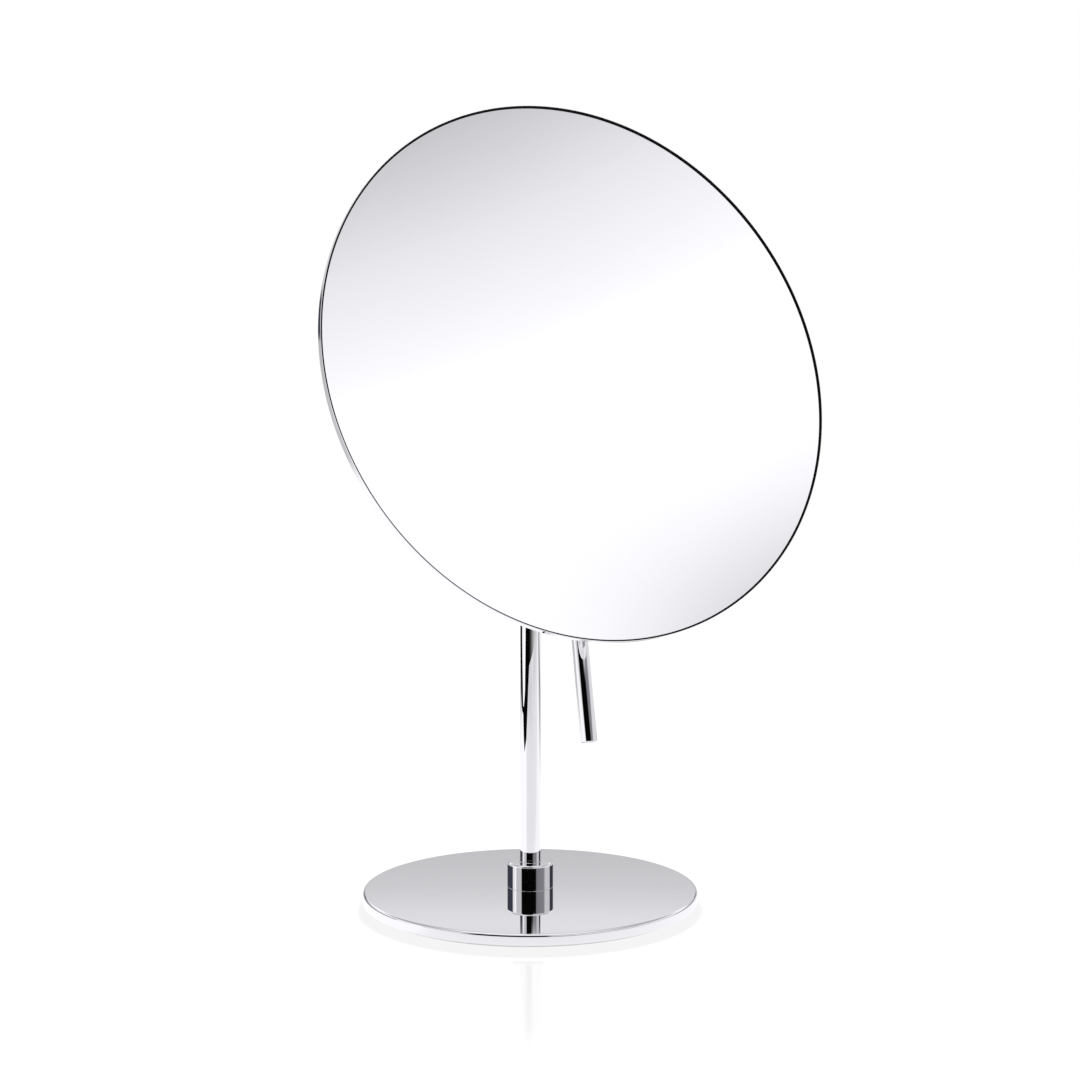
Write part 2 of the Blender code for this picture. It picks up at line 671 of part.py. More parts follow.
def build_flange_screws(parts, cutters, finish, mirror, flange, flange_front):
    """Stiffener in the tray and the countersunk screws that clamp the tray to the flange."""
    back = layer_heights()[-1] + GAP
    front = back + STIFFENER_THICKNESS
    outline = [(0.0, front), (STIFFENER_RADIUS, front), (STIFFENER_RADIUS, back), (0.0, back)]
    plate = turned("stiffener_plate", outline, finish["steel"], parts, mirror)

    head_top = front - GAP
    length = FLANGE_SCREW_LENGTH
    hole = SMALL_SCREW_RADIUS + GAP
    tip = head_top - length
    for number, x, y in flange_screw_places():
        outline = sunk_outline(SMALL_HEAD_RADIUS + SINK_GAP, hole, length, CUT_OVERRUN)
        sink = turned(f"stiffener_sink_{number}", outline, None, cutters, mirror,
                      steps=SCREW_STEPS)
        sink.location = (x, y, head_top)
        cut(plate, sink)
        tapped = bar(f"flange_tapped_hole_{number}", hole, 2.0 * (flange_front - tip + HOLE_SPARE),
                     SCREW_STEPS, (x, y, flange_front), UP, cutters, mirror)
        cut(flange, tapped)
        screw = sunk_screw(f"flange_screw_{number}", SMALL_HEAD_RADIUS, SMALL_SCREW_RADIUS,
                           length, finish["steel"], parts, cutters, mirror)
        screw.location = (x, y, head_top)


def build_arm(parts, cutters, finish, mirror, boss_rear):
    """Round stem with a flat eye at the tilt axis and a spigot in the flange."""
    stem_end = boss_rear - GAP
    outline = [
        (0.0, stem_end + SPIGOT_LENGTH),
        (SPIGOT_RADIUS - EDGE_BREAK, stem_end + SPIGOT_LENGTH),
        (SPIGOT_RADIUS, stem_end + SPIGOT_LENGTH - EDGE_BREAK),
        (SPIGOT_RADIUS, stem_end),
        (STEM_RADIUS, stem_end),
    ]
    outline += arc(STEM_RADIUS - STEM_ROUND, STEM_START + STEM_ROUND, STEM_ROUND, 0.0, -90.0)
    outline += [(0.0, STEM_START)]
    arm = turned("tilt_arm", outline, finish["chrome"], parts, mirror)

    width = 2.0 * TONGUE_HALF_WIDTH
    tongue_end = STEM_START + 2.0 * CUT_OVERRUN
    tongue = block("arm_tongue", (width, 2.0 * (STEM_RADIUS - STEM_ROUND), tongue_end),
                   (0.0, 0.0, tongue_end / 2.0), cutters, mirror)
    eye = bar("arm_eye", EYE_RADIUS, width, SMALL_STEPS, (0.0, 0.0, 0.0), ACROSS, cutters, mirror)
    join(tongue, eye)
    join(arm, tongue)
    eye_hole = bar("arm_eye_hole", TILT_SCREW_RADIUS + GAP, 2.0 * width, SCREW_STEPS,
                   (0.0, 0.0, 0.0), ACROSS, cutters, mirror)
    cut(arm, eye_hole)
    seat = bar("handle_seat", HANDLE_RADIUS + LAYER_GAP, STEM_RADIUS, SMALL_STEPS,
               (0.0, HANDLE_SEAT_Y - STEM_RADIUS / 2.0, HANDLE_OFFSET), ALONG, cutters, mirror)
    cut(arm, seat)
    return arm


def build_handle(parts, cutters, finish, mirror, arm):
    """Handle rod below the arm and the threaded stud that joins the two."""
    top = HANDLE_SEAT_Y - GAP
    length = HANDLE_REACH + top
    handle = bar("handle_rod", HANDLE_RADIUS, length, SMALL_STEPS,
                 (0.0, top - length / 2.0, HANDLE_OFFSET), ALONG, parts, mirror,
                 finish["chrome"])
    edge = handle.modifiers.new("edge", "BEVEL")
    edge.width = BOLD_EDGE_BREAK
    edge.segments = 2
    edge.limit_method = "ANGLE"

    middle = (0.0, (STUD_TOP_Y + STUD_BOTTOM_Y) / 2.0, HANDLE_OFFSET)
    stud_length = STUD_TOP_Y - STUD_BOTTOM_Y
    bar("handle_stud", SMALL_SCREW_RADIUS, stud_length, SCREW_STEPS, middle, ALONG, parts,
        mirror, finish["steel"])
    for piece in (arm, handle):
        hole = bar(piece.name + "_stud_hole", SMALL_SCREW_RADIUS + GAP,
                   stud_length + 2.0 * HOLE_SPARE, SCREW_STEPS, middle, ALONG, cutters, mirror)
        cut(piece, hole)


def add_pivot(name, height, lean, parent, group):
    pivot = bpy.data.objects.new(name, None)
    pivot.empty_display_size = HEAD_RADIUS
    pivot.location = (0.0, 0.0, height)
    pivot.rotation_euler = (lean, 0.0, 0.0)
    pivot.parent = parent
    group.objects.link(pivot)
    return pivot


def main():
    clear_scene()
    parts = add_collection(PARTS)
    cutters = add_collection(CUTTERS)
    finish = add_materials()

    slider = add_pivot("slide_axis", 0.0, 0.0, None, parts)
    head = add_pivot("swivel_axis", TILT_AXIS_Z, 0.0, slider, parts)
    mirror = add_pivot("tilt_axis", 0.0, math.pi / 2.0 - REST_TILT, head, parts)

    build_foot(parts, cutters, finish)
    build_collar(parts, cutters, finish)
    ferrule_top = build_outer_post(parts, finish)
    build_rod(parts, cutters, finish, slider)
    build_swivel_hardware(parts, cutters, finish, slider, ferrule_top)
    build_head(parts, cutters, finish, head)
    build_tilt_hardware(parts, cutters, finish, head)
    build_glass(parts, finish, mirror)
    shell_back = build_shell(parts, cutters, finish, mirror)
    flange, flange_front, boss_rear = build_flange(parts, finish, mirror, shell_back)
    build_flange_screws(parts, cutters, finish, mirror, flange, flange_front)
    arm = build_arm(parts, cutters, finish, mirror, boss_rear)
    build_handle(parts, cutters, finish, mirror, arm)


main()
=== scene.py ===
"""Looks of the extendable shaving mirror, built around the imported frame, in metres.

Fine turned pieces replace the faceted ones that show, every part gets a procedural
material, and a white studio with dark cards gives the chrome its bands.
"""

import json
import math

import bmesh
import bpy
from mathutils import Matrix, Vector


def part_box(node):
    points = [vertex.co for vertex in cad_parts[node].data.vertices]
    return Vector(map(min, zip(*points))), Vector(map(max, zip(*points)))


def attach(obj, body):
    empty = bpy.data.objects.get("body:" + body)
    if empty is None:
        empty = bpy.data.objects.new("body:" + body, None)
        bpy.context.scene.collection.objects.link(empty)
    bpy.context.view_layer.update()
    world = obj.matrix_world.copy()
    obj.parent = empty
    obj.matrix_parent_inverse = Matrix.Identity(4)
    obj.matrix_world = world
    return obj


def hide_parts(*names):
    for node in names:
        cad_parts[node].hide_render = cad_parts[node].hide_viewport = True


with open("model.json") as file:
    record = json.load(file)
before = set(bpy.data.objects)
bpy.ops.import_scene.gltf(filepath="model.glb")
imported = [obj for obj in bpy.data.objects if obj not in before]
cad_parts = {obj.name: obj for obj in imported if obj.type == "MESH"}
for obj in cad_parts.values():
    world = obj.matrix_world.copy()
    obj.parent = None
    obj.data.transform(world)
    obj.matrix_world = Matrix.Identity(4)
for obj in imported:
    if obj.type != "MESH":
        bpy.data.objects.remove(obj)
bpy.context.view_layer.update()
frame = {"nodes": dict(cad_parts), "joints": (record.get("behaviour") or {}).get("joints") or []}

# Camera: close to the object, a little below the top of the post
LENS_MM = 41.04
SENSOR_MM = 36.0
CAMERA_AZIMUTH = math.radians(-25.671)
CAMERA_DISTANCE = 0.4864
CAMERA_SIDESTEP = 0.0038
CAMERA_HEIGHT = 0.1281
CAMERA_PITCH = math.radians(1.49)
CLIP_START = 0.01
STUDIO_TINT = (0.99, 0.985, 1.02)

# Smoothness of the turned pieces
DISC_STEPS = 256
ROUND_STEPS = 128
SMALL_STEPS = 64
ARC_STEPS = 8
DISH_RINGS = 24
HEX_SIDES = 6
BEVEL_SEGMENTS = 4
SHARP_ANGLE = math.radians(16.0)
ON_AXIS = 0.0000001               # a smaller radius is a point on the axis

# Details that the frame's boxes don't give
GAP = 0.0001
CONTACT = 0.00001                 # under a piece that stands on another
SAME_PLACE = 0.00001              # points closer than this lie in one plane
EDGE_BREAK = 0.0002
FINE_BREAK = 0.0001
BOLD_BREAK = 0.0005
PLATE_HOLE = 0.0021
PLATE_SINK = 0.0046
PLATE_SINK_DEPTH = 0.0024
PLATE_TOP_ROUND = 0.0011
PLATE_FOOT_ROUND = 0.0007
COLLAR_ROUND = 0.0009
TUBE_WALL = 0.0008
TAPPED_RADIUS = 0.0015
TAPPED_DEPTH = 0.0105
SPRING_SHEET = 0.0004             # sheet thickness of the conical washer
HEAD_ROUND = 0.0012
HEAD_POCKET_RADIUS = 0.0042
HEAD_BORE_TOP = 0.1812
SLOT_HALF_WIDTH = 0.0046
SLOT_FLOOR = 0.1838
TILT_SCREW_RADIUS = 0.002
TILT_HEAD_HEIGHT = 0.002
TILT_HEAD_ROUND = 0.0004
TILT_POCKET_DEPTH = 0.0025
TILT_POCKET_SPARE = 0.0002
SOCKET_SHARE = 0.7                # hexagon socket's corner over the shank's radius
GLASS_CURVE_RADIUS = 1.6
GLASS_THICKNESS = 0.002
GLASS_BACK_CUT = 0.0007
RIM_WALL = 0.0006
RIM_DEPTH = 0.003
RIM_FOOT_RISE = 0.0003
RIM_SLOPE_WIDTH = 0.004
LACQUER_STEPS = 5
LACQUER_END = 67.5                # the lacquer ends just past the top of the lip
TRAY_FLAT_RADIUS = 0.028
TRAY_DISH_START = 0.031
FLANGE_ROUND = 0.0012
FLANGE_FILLET = 0.0012
FLANGE_THICKNESS = 0.004
BOSS_RADIUS = 0.009
SPIGOT_RADIUS = 0.0039
SPIGOT_LENGTH = 0.0062
STEM_RADIUS = 0.006
STEM_START = 0.0112
STEM_ROUND = 0.001
TONGUE_HALF_HEIGHT = 0.005
TONGUE_EDGE = 0.0006
EYE_RADIUS = 0.007

X_AXIS = Vector((1.0, 0.0, 0.0))
Y_AXIS = Vector((0.0, 1.0, 0.0))
Z_AXIS = Vector((0.0, 0.0, 1.0))
MM = 0.001
FULL_TURN = 360.0
HALF_TURN = 180.0
MIX_FIRST, MIX_SECOND, MIX_RESULT = 6, 7, 2   # a Mix node's colour sockets


def centre(node):
    low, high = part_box(node)
    return (low + high) / 2.0


def radius_of(node):
    """Radius of a node that is round about a vertical axis or spans it across X."""
    low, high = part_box(node)
    return (high.x - low.x) / 2.0


def tilt_pivot():
    joint = next(item for item in frame["joints"] if item["name"] == "mirror_tilt")
    return Vector(joint["pos_m"])


def own_box(node, place):
    """Lowest and highest corners of a node in a frame of its own."""
    inverse = place.inverted()
    points = [inverse @ vertex.co for vertex in frame["nodes"][node].data.vertices]
    low = Vector([min(point[i] for point in points) for i in range(3)])
    high = Vector([max(point[i] for point in points) for i in range(3)])
    return low, high


def mirror_frame():
    """Matrix of the mirror's own frame: +Z out of the glass, +Y up it, tilt axis at 0."""
    pivot = tilt_pivot()
    normal = (centre("stiffener_plate") - pivot).normalized()
    upward = normal.cross(X_AXIS)
    turn = Matrix((X_AXIS, upward, normal)).transposed().to_4x4()
    return Matrix.Translation(pivot) @ turn


def add_object(name, data):
    made = bpy.data.objects.new(name, data)
    bpy.context.scene.collection.objects.link(made)
    return made


def mesh_of(name, work):
    """The mesh that a finished bmesh makes."""
    mesh = bpy.data.meshes.new(name)
    work.to_mesh(mesh)
    work.free()
    return mesh


def smooth(mesh):
    mesh.shade_smooth()
    mesh.set_sharp_from_angle(angle=SHARP_ANGLE)


# ---------------------------------------------------------------- camera and studio

def toward_camera():
    return Vector((math.sin(CAMERA_AZIMUTH), -math.cos(CAMERA_AZIMUTH), 0.0))


def camera_right():
    return Vector((math.cos(CAMERA_AZIMUTH), math.sin(CAMERA_AZIMUTH), 0.0))


def add_camera():
    data = bpy.data.cameras.new("camera")
    data.lens = LENS_MM
    data.sensor_width = SENSOR_MM
    data.clip_start = CLIP_START
    camera = add_object("camera", data)
    place = toward_camera() * CAMERA_DISTANCE + camera_right() * CAMERA_SIDESTEP
    camera.location = (place.x, place.y, CAMERA_HEIGHT)
    camera.rotation_euler = (math.pi / 2.0 + CAMERA_PITCH, 0.0, CAMERA_AZIMUTH)
    bpy.context.scene.camera = camera


class Graph:
    """Short ways to add nodes to a node tree."""

    def __init__(self, tree):
        self.tree = tree
        self.tree.nodes.clear()

    def node(self, kind, **settings):
        made = self.tree.nodes.new(kind)
        for name, value in settings.items():
            setattr(made, name, value)
        return made

    def feed(self, socket, value):
        if isinstance(value, bpy.types.NodeSocket):
            self.tree.links.new(value, socket)
        elif value is not None:
            socket.default_value = value

    def math(self, operation, first, second=None, third=None):
        made = self.node("ShaderNodeMath", operation=operation)
        for socket, value in zip(made.inputs, (first, second, third)):
            self.feed(socket, value)
        return made.outputs[0]

    def dot(self, vector, other):
        made = self.node("ShaderNodeVectorMath", operation="DOT_PRODUCT")
        self.feed(made.inputs[0], vector)
        self.feed(made.inputs[1], tuple(other))
        return made.outputs["Value"]

    def length(self, vector):
        made = self.node("ShaderNodeVectorMath", operation="LENGTH")
        self.feed(made.inputs[0], vector)
        return made.outputs["Value"]

    def turn(self, place):
        """Degrees round the post from the camera's side, + to the picture's right."""
        near = self.dot(place, toward_camera())
        right = self.dot(place, camera_right())
        return self.math("DEGREES", self.math("ARCTAN2", right, near))

    def step(self, value, start, end):
        """A smooth change from 0 at start to 1 at end."""
        made = self.node("ShaderNodeMapRange", interpolation_type="SMOOTHSTEP")
        self.feed(made.inputs["Value"], value)
        made.inputs["From Min"].default_value = start
        made.inputs["From Max"].default_value = end
        return made.outputs["Result"]

    def span(self, value, low, high):
        """A value between 0 and 1 spread from low to high."""
        made = self.node("ShaderNodeMapRange")
        self.feed(made.inputs["Value"], value)
        made.inputs["To Min"].default_value = low
        made.inputs["To Max"].default_value = high
        return made.outputs["Result"]

    def ramp(self, value, stops):
        made = self.node("ShaderNodeValToRGB")
        self.feed(made.inputs["Fac"], value)
        elements = made.color_ramp.elements
        while len(elements) > 1:
            elements.remove(elements[-1])
        elements[0].position = stops[0][0]
        elements[0].color = rgba(stops[0][1])
        for position, colour in stops[1:]:
            elements.new(position).color = rgba(colour)
        return made.outputs["Color"]

    def table(self, value, span, rows):
        """The colour at a value, from (value, colour) rows within half a span of 0."""
        share = self.math("MULTIPLY_ADD", value, 1.0 / span, 0.5)
        return self.ramp(share, [(place / span + 0.5, colour) for place, colour in rows])

    def mix(self, share, first, second):
        made = self.node("ShaderNodeMix", data_type="RGBA")
        self.feed(made.inputs["Factor"], share)
        for index, colour in ((MIX_FIRST, first), (MIX_SECOND, second)):
            linked = isinstance(colour, bpy.types.NodeSocket)
            self.feed(made.inputs[index], colour if linked else rgba(colour))
        return made.outputs[MIX_RESULT]

    def mix_shaders(self, share, first, second):
        made = self.node("ShaderNodeMixShader")
        for socket, value in zip(made.inputs, (share, first, second)):
            self.feed(socket, value)
        return made.outputs["Shader"]

    def surface(self, shader, kind="ShaderNodeOutputMaterial"):
        output = self.node(kind)
        self.feed(output.inputs["Surface"], shader)

    def noise(self, vector, scale, detail, roughness=0.5):
        made = self.node("ShaderNodeTexNoise")
        self.feed(made.inputs["Vector"], vector)
        made.inputs["Scale"].default_value = scale
        made.inputs["Detail"].default_value = detail
        made.inputs["Roughness"].default_value = roughness
        return made.outputs["Fac"]

    def bump(self, height, distance):
        made = self.node("ShaderNodeBump")
        made.inputs["Strength"].default_value = 1.0
        made.inputs["Distance"].default_value = distance
        self.feed(made.inputs["Height"], height)
        return made.outputs["Normal"]


def rgba(colour):
    if isinstance(colour, (int, float)):
        return (colour, colour, colour, 1.0)
    return (*colour, 1.0)


def tinted(level):
    return tuple(level * share for share in STUDIO_TINT)


def tinted_rows(rows):
    """Rows of (place, brightness or colour), each brightness in the studio's tint."""
    return [(place, level if isinstance(level, tuple) else tinted(level)) for place, level in rows]


def new_material(name):
    material = bpy.data.materials.new(name)
    material.use_nodes = True
    return material, Graph(material.node_tree)


# In the studio's numbers a pair is where a soft edge starts and where it ends.
# Cards round the object, in two rings: (degrees from the camera's direction, + to the
# picture's right, brightness there)
LOW_CARDS = tinted_rows([
    (-97.0, 1.1), (-48.0, 1.1), (-38.0, 0.60), (22.0, 0.60),
    (70.0, 0.80), (150.0, 0.85), (154.0, 0.60), (180.0, 0.60),
])
HIGH_CARDS = tinted_rows([
    (-97.0, 0.95), (-86.0, 0.95), (-84.0, 1.2), (-75.0, 1.2), (-74.0, 0.67), (-46.0, 0.67),
    (-43.0, 0.002), (28.0, 0.002),
    (32.0, (0.225, 0.215, 0.245)), (60.0, (0.265, 0.255, 0.285)), (75.0, (0.30, 0.29, 0.32)),
    (78.0, 0.70), (112.0, 0.70),
    (116.0, (0.045, 0.048, 0.062)), (148.0, (0.045, 0.048, 0.062)),
    (152.0, (0.20, 0.20, 0.22)), (180.0, (0.20, 0.20, 0.22)),
])
# Elevation where the low ring gives way to the high one, and how much higher on the right
CARD_CHANGE = (5.0, 7.0)
RIGHT_LIFT = 5.0
RIGHT_SIDE = (25.0, 45.0)
# Far left, behind the white card: (elevation in degrees, brightness)
LEFT_BACK = tinted_rows([(-1.0, 0.60), (10.5, 0.55), (11.5, (0.050, 0.056, 0.075))])
LEFT_BACK_EDGE = (-97.0, -99.0)
# Backdrop behind the object and the light above the cards: (elevation in degrees, brightness)
BACKDROP = tinted_rows([
    (-8.0, 0.30), (6.0, 0.36), (12.6, 0.60), (14.2, 0.68), (16.3, 0.90), (18.0, 1.0),
])
BACKDROP_EDGE = (163.0, 168.0)
SKY = tinted_rows([
    (18.0, 1.05), (29.3, 1.12), (30.4, 1.02), (31.4, 0.95), (32.4, 0.87), (33.5, 0.74),
    (34.3, 0.64), (38.0, 0.48), (52.0, 0.50), (66.0, 1.10), (90.0, 1.20),
])
SKY_EDGE = (15.5, 17.5)
# The sky's dimmer lower right corner
CORNER_SIDE = (56.0, 61.0)
CORNER_TOP = (25.5, 21.0)
CORNER_LEVEL = 0.72
# A soft grey low in front, which the glass mirrors when it is seen from straight ahead
FRONT_SIDE = (33.0, 20.0)
FRONT_TOP = (25.0, 15.0)
FRONT_LEVEL = 0.62
# Dark part above the camera: its middle, the edges from the middle, and the edges of its top
DARK_MIDDLE = -14.0
DARK_EDGE = (31.0, 25.0)
DARK_TOP = (58.0, 46.0)
DARK_LEVEL = 0.003


def add_world():
    """White to the camera; a ring of soft cards and panels to everything else."""
    world = bpy.data.worlds.new("studio")
    bpy.context.scene.world = world
    world.use_nodes = True
    g = Graph(world.node_tree)
    direction = g.node("ShaderNodeTexCoord").outputs["Generated"]
    turn = g.turn(direction)
    height = g.math("DEGREES", g.math("ARCSINE", g.dot(direction, Z_AXIS)))

    low_ring = g.table(turn, FULL_TURN, LOW_CARDS)
    high_ring = g.table(turn, FULL_TURN, HIGH_CARDS)
    lift = g.math("MULTIPLY_ADD", g.step(turn, *RIGHT_SIDE), -RIGHT_LIFT, height)
    cards = g.mix(g.step(lift, *CARD_CHANGE), low_ring, high_ring)
    left_back = g.table(height, HALF_TURN, LEFT_BACK)
    cards = g.mix(g.step(turn, *LEFT_BACK_EDGE), cards, left_back)
    backdrop = g.table(height, HALF_TURN, BACKDROP)
    behind = g.step(g.math("ABSOLUTE", turn), *BACKDROP_EDGE)
    ring = g.mix(behind, cards, backdrop)

    from_dark = g.math("ABSOLUTE", g.math("SUBTRACT", turn, DARK_MIDDLE))
    dark = g.math("MULTIPLY", g.step(from_dark, *DARK_EDGE), g.step(height, *DARK_TOP))
    corner = g.math("MULTIPLY", g.step(turn, *CORNER_SIDE), g.step(height, *CORNER_TOP))
    sky = g.mix(corner, g.table(height, HALF_TURN, SKY), tinted(CORNER_LEVEL))
    front = g.math("MULTIPLY", g.step(turn, *FRONT_SIDE), g.step(height, *FRONT_TOP))
    sky = g.mix(front, sky, tinted(FRONT_LEVEL))
    sky = g.mix(dark, sky, DARK_LEVEL)
    room = g.mix(g.step(height, *SKY_EDGE), ring, sky)

    path = g.node("ShaderNodeLightPath")
    shown = g.mix(path.outputs["Is Camera Ray"], room, 1.0)
    background = g.node("ShaderNodeBackground")
    g.feed(background.inputs["Color"], shown)
    g.surface(background.outputs["Background"], "ShaderNodeOutputWorld")


# Floor: its brightness, the painted shade round the foot, and the post's faint reflection
FLOOR_SIZE = 12.0
FLOOR_DROP = 0.00015
SHEET_DROP = 0.002
FLOOR_LEVEL = 1.06
PAINTED_FOOT_SHADE = 0.15              # painted shade: stands for the foot's side mirrored in the floor, toward the camera
PAINTED_SHADE_SHIFT = 0.008
PAINTED_SHADE_REACH = (0.0675, 0.0645)
FLOOR_GLOSS = 0.25
FLOOR_GLOSS_ROUGH = 0.12
FLOOR_GLOSS_LIFT = 0.08
FLOOR_STRIP = (0.0065, 0.0045)    # half width of the strip that mirrors the post
FLOOR_STRIP_START = (0.0755, 0.079)
FLOOR_STRIP_END = (0.17, 0.13)
# White sheet that only the chrome sees: (distance toward the camera, brightness)
SHEET_REACH = 6.0
TONE_SPAN = 4.0
SHEET_TONES = tinted_rows([
    (-1.0, 0.80), (-0.8, 0.32), (-0.45, 0.42), (-0.30, 0.80), (-0.19, 1.12), (0.03, 1.08),
    (0.10, 0.92), (0.30, 0.90), (0.46, 0.88), (0.64, 0.79), (0.86, 0.74),
    (1.3, 0.80), (1.9, 0.60),
])
# Its brighter left part: where it starts and ends round the foot, and how it fades far behind
LEFT_START = (-36.0, -50.0)
LEFT_END = (-150.0, -170.0)
LEFT_LEVEL = 1.14
LEFT_FAR_LEVEL = 0.62
LEFT_FAR_SIDE = (-98.0, -106.0)
LEFT_FAR_REACH = (0.45, 0.9)
# Dark card close round the post: (degrees, its lower edge and its upper edge in mm)
NEAR_CARD_RADIUS = 0.005
NEAR_CARD = [
    (-107.3, 148.0, 148.2), (-105.4, 101.9, 148.0), (-89.8, 82.9, 148.0), (-73.6, 75.4, 148.0),
    (-67.4, 73.9, 148.0), (-66.6, 73.7, 101.9), (-57.5, 72.7, 82.8), (-54.5, 72.3, 75.6),
    (-49.3, 63.5, 75.2), (-42.0, 57.5, 78.3), (-38.3, 58.6, 82.2), (-35.4, 59.6, 94.2),
    (-33.9, 60.1, 101.8), (-32.5, 60.6, 148.0), (-26.7, 62.8, 148.0), (-20.2, 72.8, 148.0),
    (-14.4, 82.2, 148.0), (-7.2, 91.5, 148.0), (13.0, 95.8, 148.0), (24.5, 98.7, 148.0),
    (39.8, 105.5, 148.0), (44.9, 116.2, 148.0), (47.9, 148.0, 148.2),
]
NEAR_CARD_STEPS = 8
NEAR_CARD_TONES = [
    (-5.8, 0.002), (1.4, 0.045), (9.4, 0.18), (17.3, 0.37), (25.2, 0.58), (42.0, 0.71),
]


def flat_sheet(name, reach, height):
    """A level square that is part of the studio."""
    mesh = bpy.data.meshes.new(name)
    corners = [(-reach, -reach, height), (reach, -reach, height),
               (reach, reach, height), (-reach, reach, height)]
    mesh.from_pydata(corners, [], [(0, 1, 2, 3)])
    sheet = add_object(name, mesh)
    return sheet


def sheet_material():
    """A lit white sheet, dim behind the object and bright to its left."""
    material, g = new_material("sheet")
    place = g.node("ShaderNodeTexCoord").outputs["Object"]
    tones = g.table(g.dot(place, toward_camera()), TONE_SPAN, SHEET_TONES)
    turn = g.turn(place)
    far = g.math("MULTIPLY", g.step(turn, *LEFT_FAR_SIDE),
                 g.step(g.length(place), *LEFT_FAR_REACH))
    left_level = g.mix(far, tinted(LEFT_LEVEL), tinted(LEFT_FAR_LEVEL))
    left = g.math("SUBTRACT", g.step(turn, *LEFT_START), g.step(turn, *LEFT_END))
    emission = g.node("ShaderNodeEmission")
    g.feed(emission.inputs["Color"], g.mix(left, tones, left_level))
    g.surface(emission.outputs["Emission"])
    return material


def near_card_material():
    """Dark toward the post, with light coming in from the right; clear from outside."""
    material, g = new_material("near_card")
    turn = g.turn(g.node("ShaderNodeTexCoord").outputs["Object"])
    emission = g.node("ShaderNodeEmission")
    g.feed(emission.inputs["Color"], g.table(turn, FULL_TURN, NEAR_CARD_TONES))
    outside = g.node("ShaderNodeNewGeometry").outputs["Backfacing"]
    clear = g.node("ShaderNodeBsdfTransparent")
    g.surface(g.mix_shaders(outside, emission.outputs["Emission"], clear.outputs["BSDF"]))
    return material


def add_near_card():
    """A curved card between the edges in NEAR_CARD, seen only in the chrome."""
    work = bmesh.new()
    columns = []
    for (start, low_start, high_start), (end, low_end, high_end) in zip(NEAR_CARD, NEAR_CARD[1:]):
        for part in range(NEAR_CARD_STEPS + (end == NEAR_CARD[-1][0])):
            share = part / NEAR_CARD_STEPS
            turn = math.radians(start + (end - start) * share)
            spot = toward_camera() * math.cos(turn) + camera_right() * math.sin(turn)
            spot *= NEAR_CARD_RADIUS
            low = (low_start + (low_end - low_start) * share) * MM
            high = (high_start + (high_end - high_start) * share) * MM
            columns.append([work.verts.new((spot.x, spot.y, height)) for height in (low, high)])
    for left, right in zip(columns, columns[1:]):
        work.faces.new((left[0], left[1], right[1], right[0]))
    card = add_object("near_card", mesh_of("near_card", work))
    card.data.materials.append(near_card_material())
    card.visible_camera = False
    card.visible_diffuse = False


def floor_material():
    """White, with painted shade round the foot and a faint polished strip in front of it."""
    material, g = new_material("floor_white")
    place = g.node("ShaderNodeTexCoord").outputs["Object"]
    near = g.dot(place, toward_camera())
    aside = g.math("ABSOLUTE", g.dot(place, camera_right()))
    along = g.math("MULTIPLY", g.step(near, *FLOOR_STRIP_START),
                   g.step(near, *FLOOR_STRIP_END))
    strip = g.math("MULTIPLY", g.step(aside, *FLOOR_STRIP), along)
    share = g.math("MULTIPLY", strip, FLOOR_GLOSS)
    # Painted shade: the glow is dimmed over a disc a little wider than the foot and shifted toward
    # the camera, so a thin dark band shows in front of it, standing for the foot's side mirrored in
    # the floor
    nearer = g.node("ShaderNodeVectorMath", operation="SUBTRACT")
    g.feed(nearer.inputs[0], place)
    g.feed(nearer.inputs[1], tuple(toward_camera() * PAINTED_SHADE_SHIFT))
    reach = g.length(nearer.outputs["Vector"])
    painted_shade = g.math("MULTIPLY", g.step(reach, *PAINTED_SHADE_REACH), -PAINTED_FOOT_SHADE)
    level = g.math("MULTIPLY_ADD", strip, FLOOR_GLOSS_LIFT, g.math("ADD", painted_shade, FLOOR_LEVEL))
    emission = g.node("ShaderNodeEmission")
    g.feed(emission.inputs["Strength"], level)
    gloss = g.node("ShaderNodeBsdfGlossy")
    gloss.inputs["Roughness"].default_value = FLOOR_GLOSS_ROUGH
    g.surface(g.mix_shaders(share, emission.outputs["Emission"], gloss.outputs["BSDF"]))
    return material


def add_floor():
    """The floor that the camera sees, and the sheet below it that the chrome sees."""
    floor = flat_sheet("floor", FLOOR_SIZE / 2.0, -FLOOR_DROP)
    floor.data.materials.append(floor_material())
    floor.visible_glossy = False
    floor.visible_diffuse = False
    sheet = flat_sheet("sheet", SHEET_REACH, -SHEET_DROP)
    sheet.data.materials.append(sheet_material())
    sheet.visible_camera = False


# ---------------------------------------------------------------- materials

# Each metal: darker and lighter tone, smoothest and roughest gloss, grain size, bump height
METALS = {
    "chrome": ((0.845, 0.845, 0.852), (0.87, 0.87, 0.877), (0.008, 0.03), 0.004, 0.0000001),
    "silver": ((0.925, 0.93, 0.935), (0.94, 0.943, 0.95), (0.003, 0.012), 0.02, 0.0000001),
    "ground_edge": ((0.62, 0.66, 0.62), (0.72, 0.75, 0.71), (0.18, 0.34), 0.0004, 0.000004),
    "steel": ((0.52, 0.52, 0.53), (0.64, 0.64, 0.66), (0.16, 0.34), 0.0006, 0.000006),
    "brass": ((0.70, 0.52, 0.24), (0.82, 0.64, 0.33), (0.15, 0.32), 0.0006, 0.000005),
}
# Each paint, plastic or rubber: the same, and its specular level
PLASTICS = {
    "lacquer": ((0.003, 0.003, 0.004), (0.007, 0.007, 0.009), (0.55, 0.75), 0.0003, 0.000004, 0.08),
    "nylon": ((0.80, 0.79, 0.74), (0.90, 0.89, 0.85), (0.35, 0.55), 0.0005, 0.00001, 0.5),
    "rubber": ((0.74, 0.74, 0.72), (0.82, 0.82, 0.80), (0.55, 0.80), 0.0004, 0.00003, 0.5),
    "foam": ((0.42, 0.42, 0.43), (0.62, 0.62, 0.63), (0.85, 0.98), 0.0008, 0.00015, 0.5),
}
